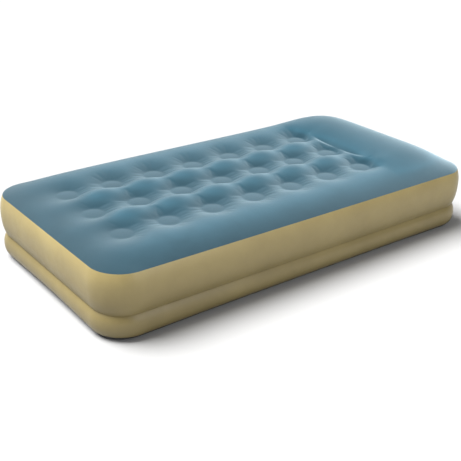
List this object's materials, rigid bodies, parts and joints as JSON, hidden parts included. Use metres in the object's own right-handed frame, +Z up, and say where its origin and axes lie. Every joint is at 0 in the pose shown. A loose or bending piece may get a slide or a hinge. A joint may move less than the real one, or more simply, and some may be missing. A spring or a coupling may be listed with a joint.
{
  "type": "air mattress",
  "caption": "Inflated single air mattress with a flocked, dimpled top, a built-in pillow, two-tier vinyl sides and a screw-in valve.",
  "frame": {"origin": "middle of the underside, on the ground", "axes": "+X towards the head end and the pillow, +Y towards the left side of someone lying face up with their head on the pillow, +Z up"},
  "size_m": [1.9243, 0.97, 0.352],
  "materials": {
    "flocked_top": "flocked velour",
    "side_vinyl": "satin, fine grain",
    "bottom_vinyl": "satin",
    "inner_vinyl": "satin",
    "valve_plastic": "satin",
    "valve_cap_plastic": "satin",
    "silicone": "soft"
  },
  "bodies": {
    "bed": {"top_sheet": "flocked_top", "upper_side_band": "side_vinyl", "lower_side_band": "side_vinyl", "bottom_sheet": "bottom_vinyl", "girth_web": "inner_vinyl", "pillow_baffle": "inner_vinyl", "coil_1_1": "inner_vinyl", "coil_1_2": "inner_vinyl", "coil_1_3": "inner_vinyl", "coil_1_4": "inner_vinyl", "coil_1_5": "inner_vinyl", "coil_1_6": "inner_vinyl", "coil_1_7": "inner_vinyl", "coil_2_1": "inner_vinyl", "coil_2_2": "inner_vinyl", "coil_2_3": "inner_vinyl", "coil_2_4": "inner_vinyl", "coil_2_5": "inner_vinyl", "coil_2_6": "inner_vinyl", "coil_2_7": "inner_vinyl", "coil_3_1": "inner_vinyl", "coil_3_2": "inner_vinyl", "coil_3_3": "inner_vinyl", "coil_3_4": "inner_vinyl", "coil_3_5": "inner_vinyl", "coil_3_6": "inner_vinyl", "coil_3_7": "inner_vinyl", "valve_base": "valve_plastic"},
    "gasket": {"valve_gasket": "silicone"},
    "insert": {"valve_insert": "valve_plastic"},
    "diaphragm": {"valve_diaphragm": "silicone"},
    "cap": {"valve_cap": "valve_cap_plastic"}
  },
  "joints": [
    {"name": "insert_lift", "type": "slide", "parent": "bed", "child": "gasket", "axis": [1, 0, 0], "range_m": [0, 0.0076]},
    {"name": "insert_turn", "type": "hinge", "parent": "gasket", "child": "insert", "pos_m": [0.955, 0.25, 0.187], "axis": [1, 0, 0], "range_deg": [0, 450]},
    {"name": "diaphragm_open", "type": "slide", "parent": "insert", "child": "diaphragm", "axis": [-1, 0, 0], "range_m": [0, 0.003], "stiffness_N_per_m": 40},
    {"name": "cap_open", "type": "hinge", "parent": "insert", "child": "cap", "pos_m": [0.9649, 0.25, 0.21], "axis": [0, -1, 0], "range_deg": [0, 120]}
  ],
  "couplings": [
    {"joint": "insert_lift", "follows": "insert_turn", "m_per_rad": 0.00095493}
  ]
}
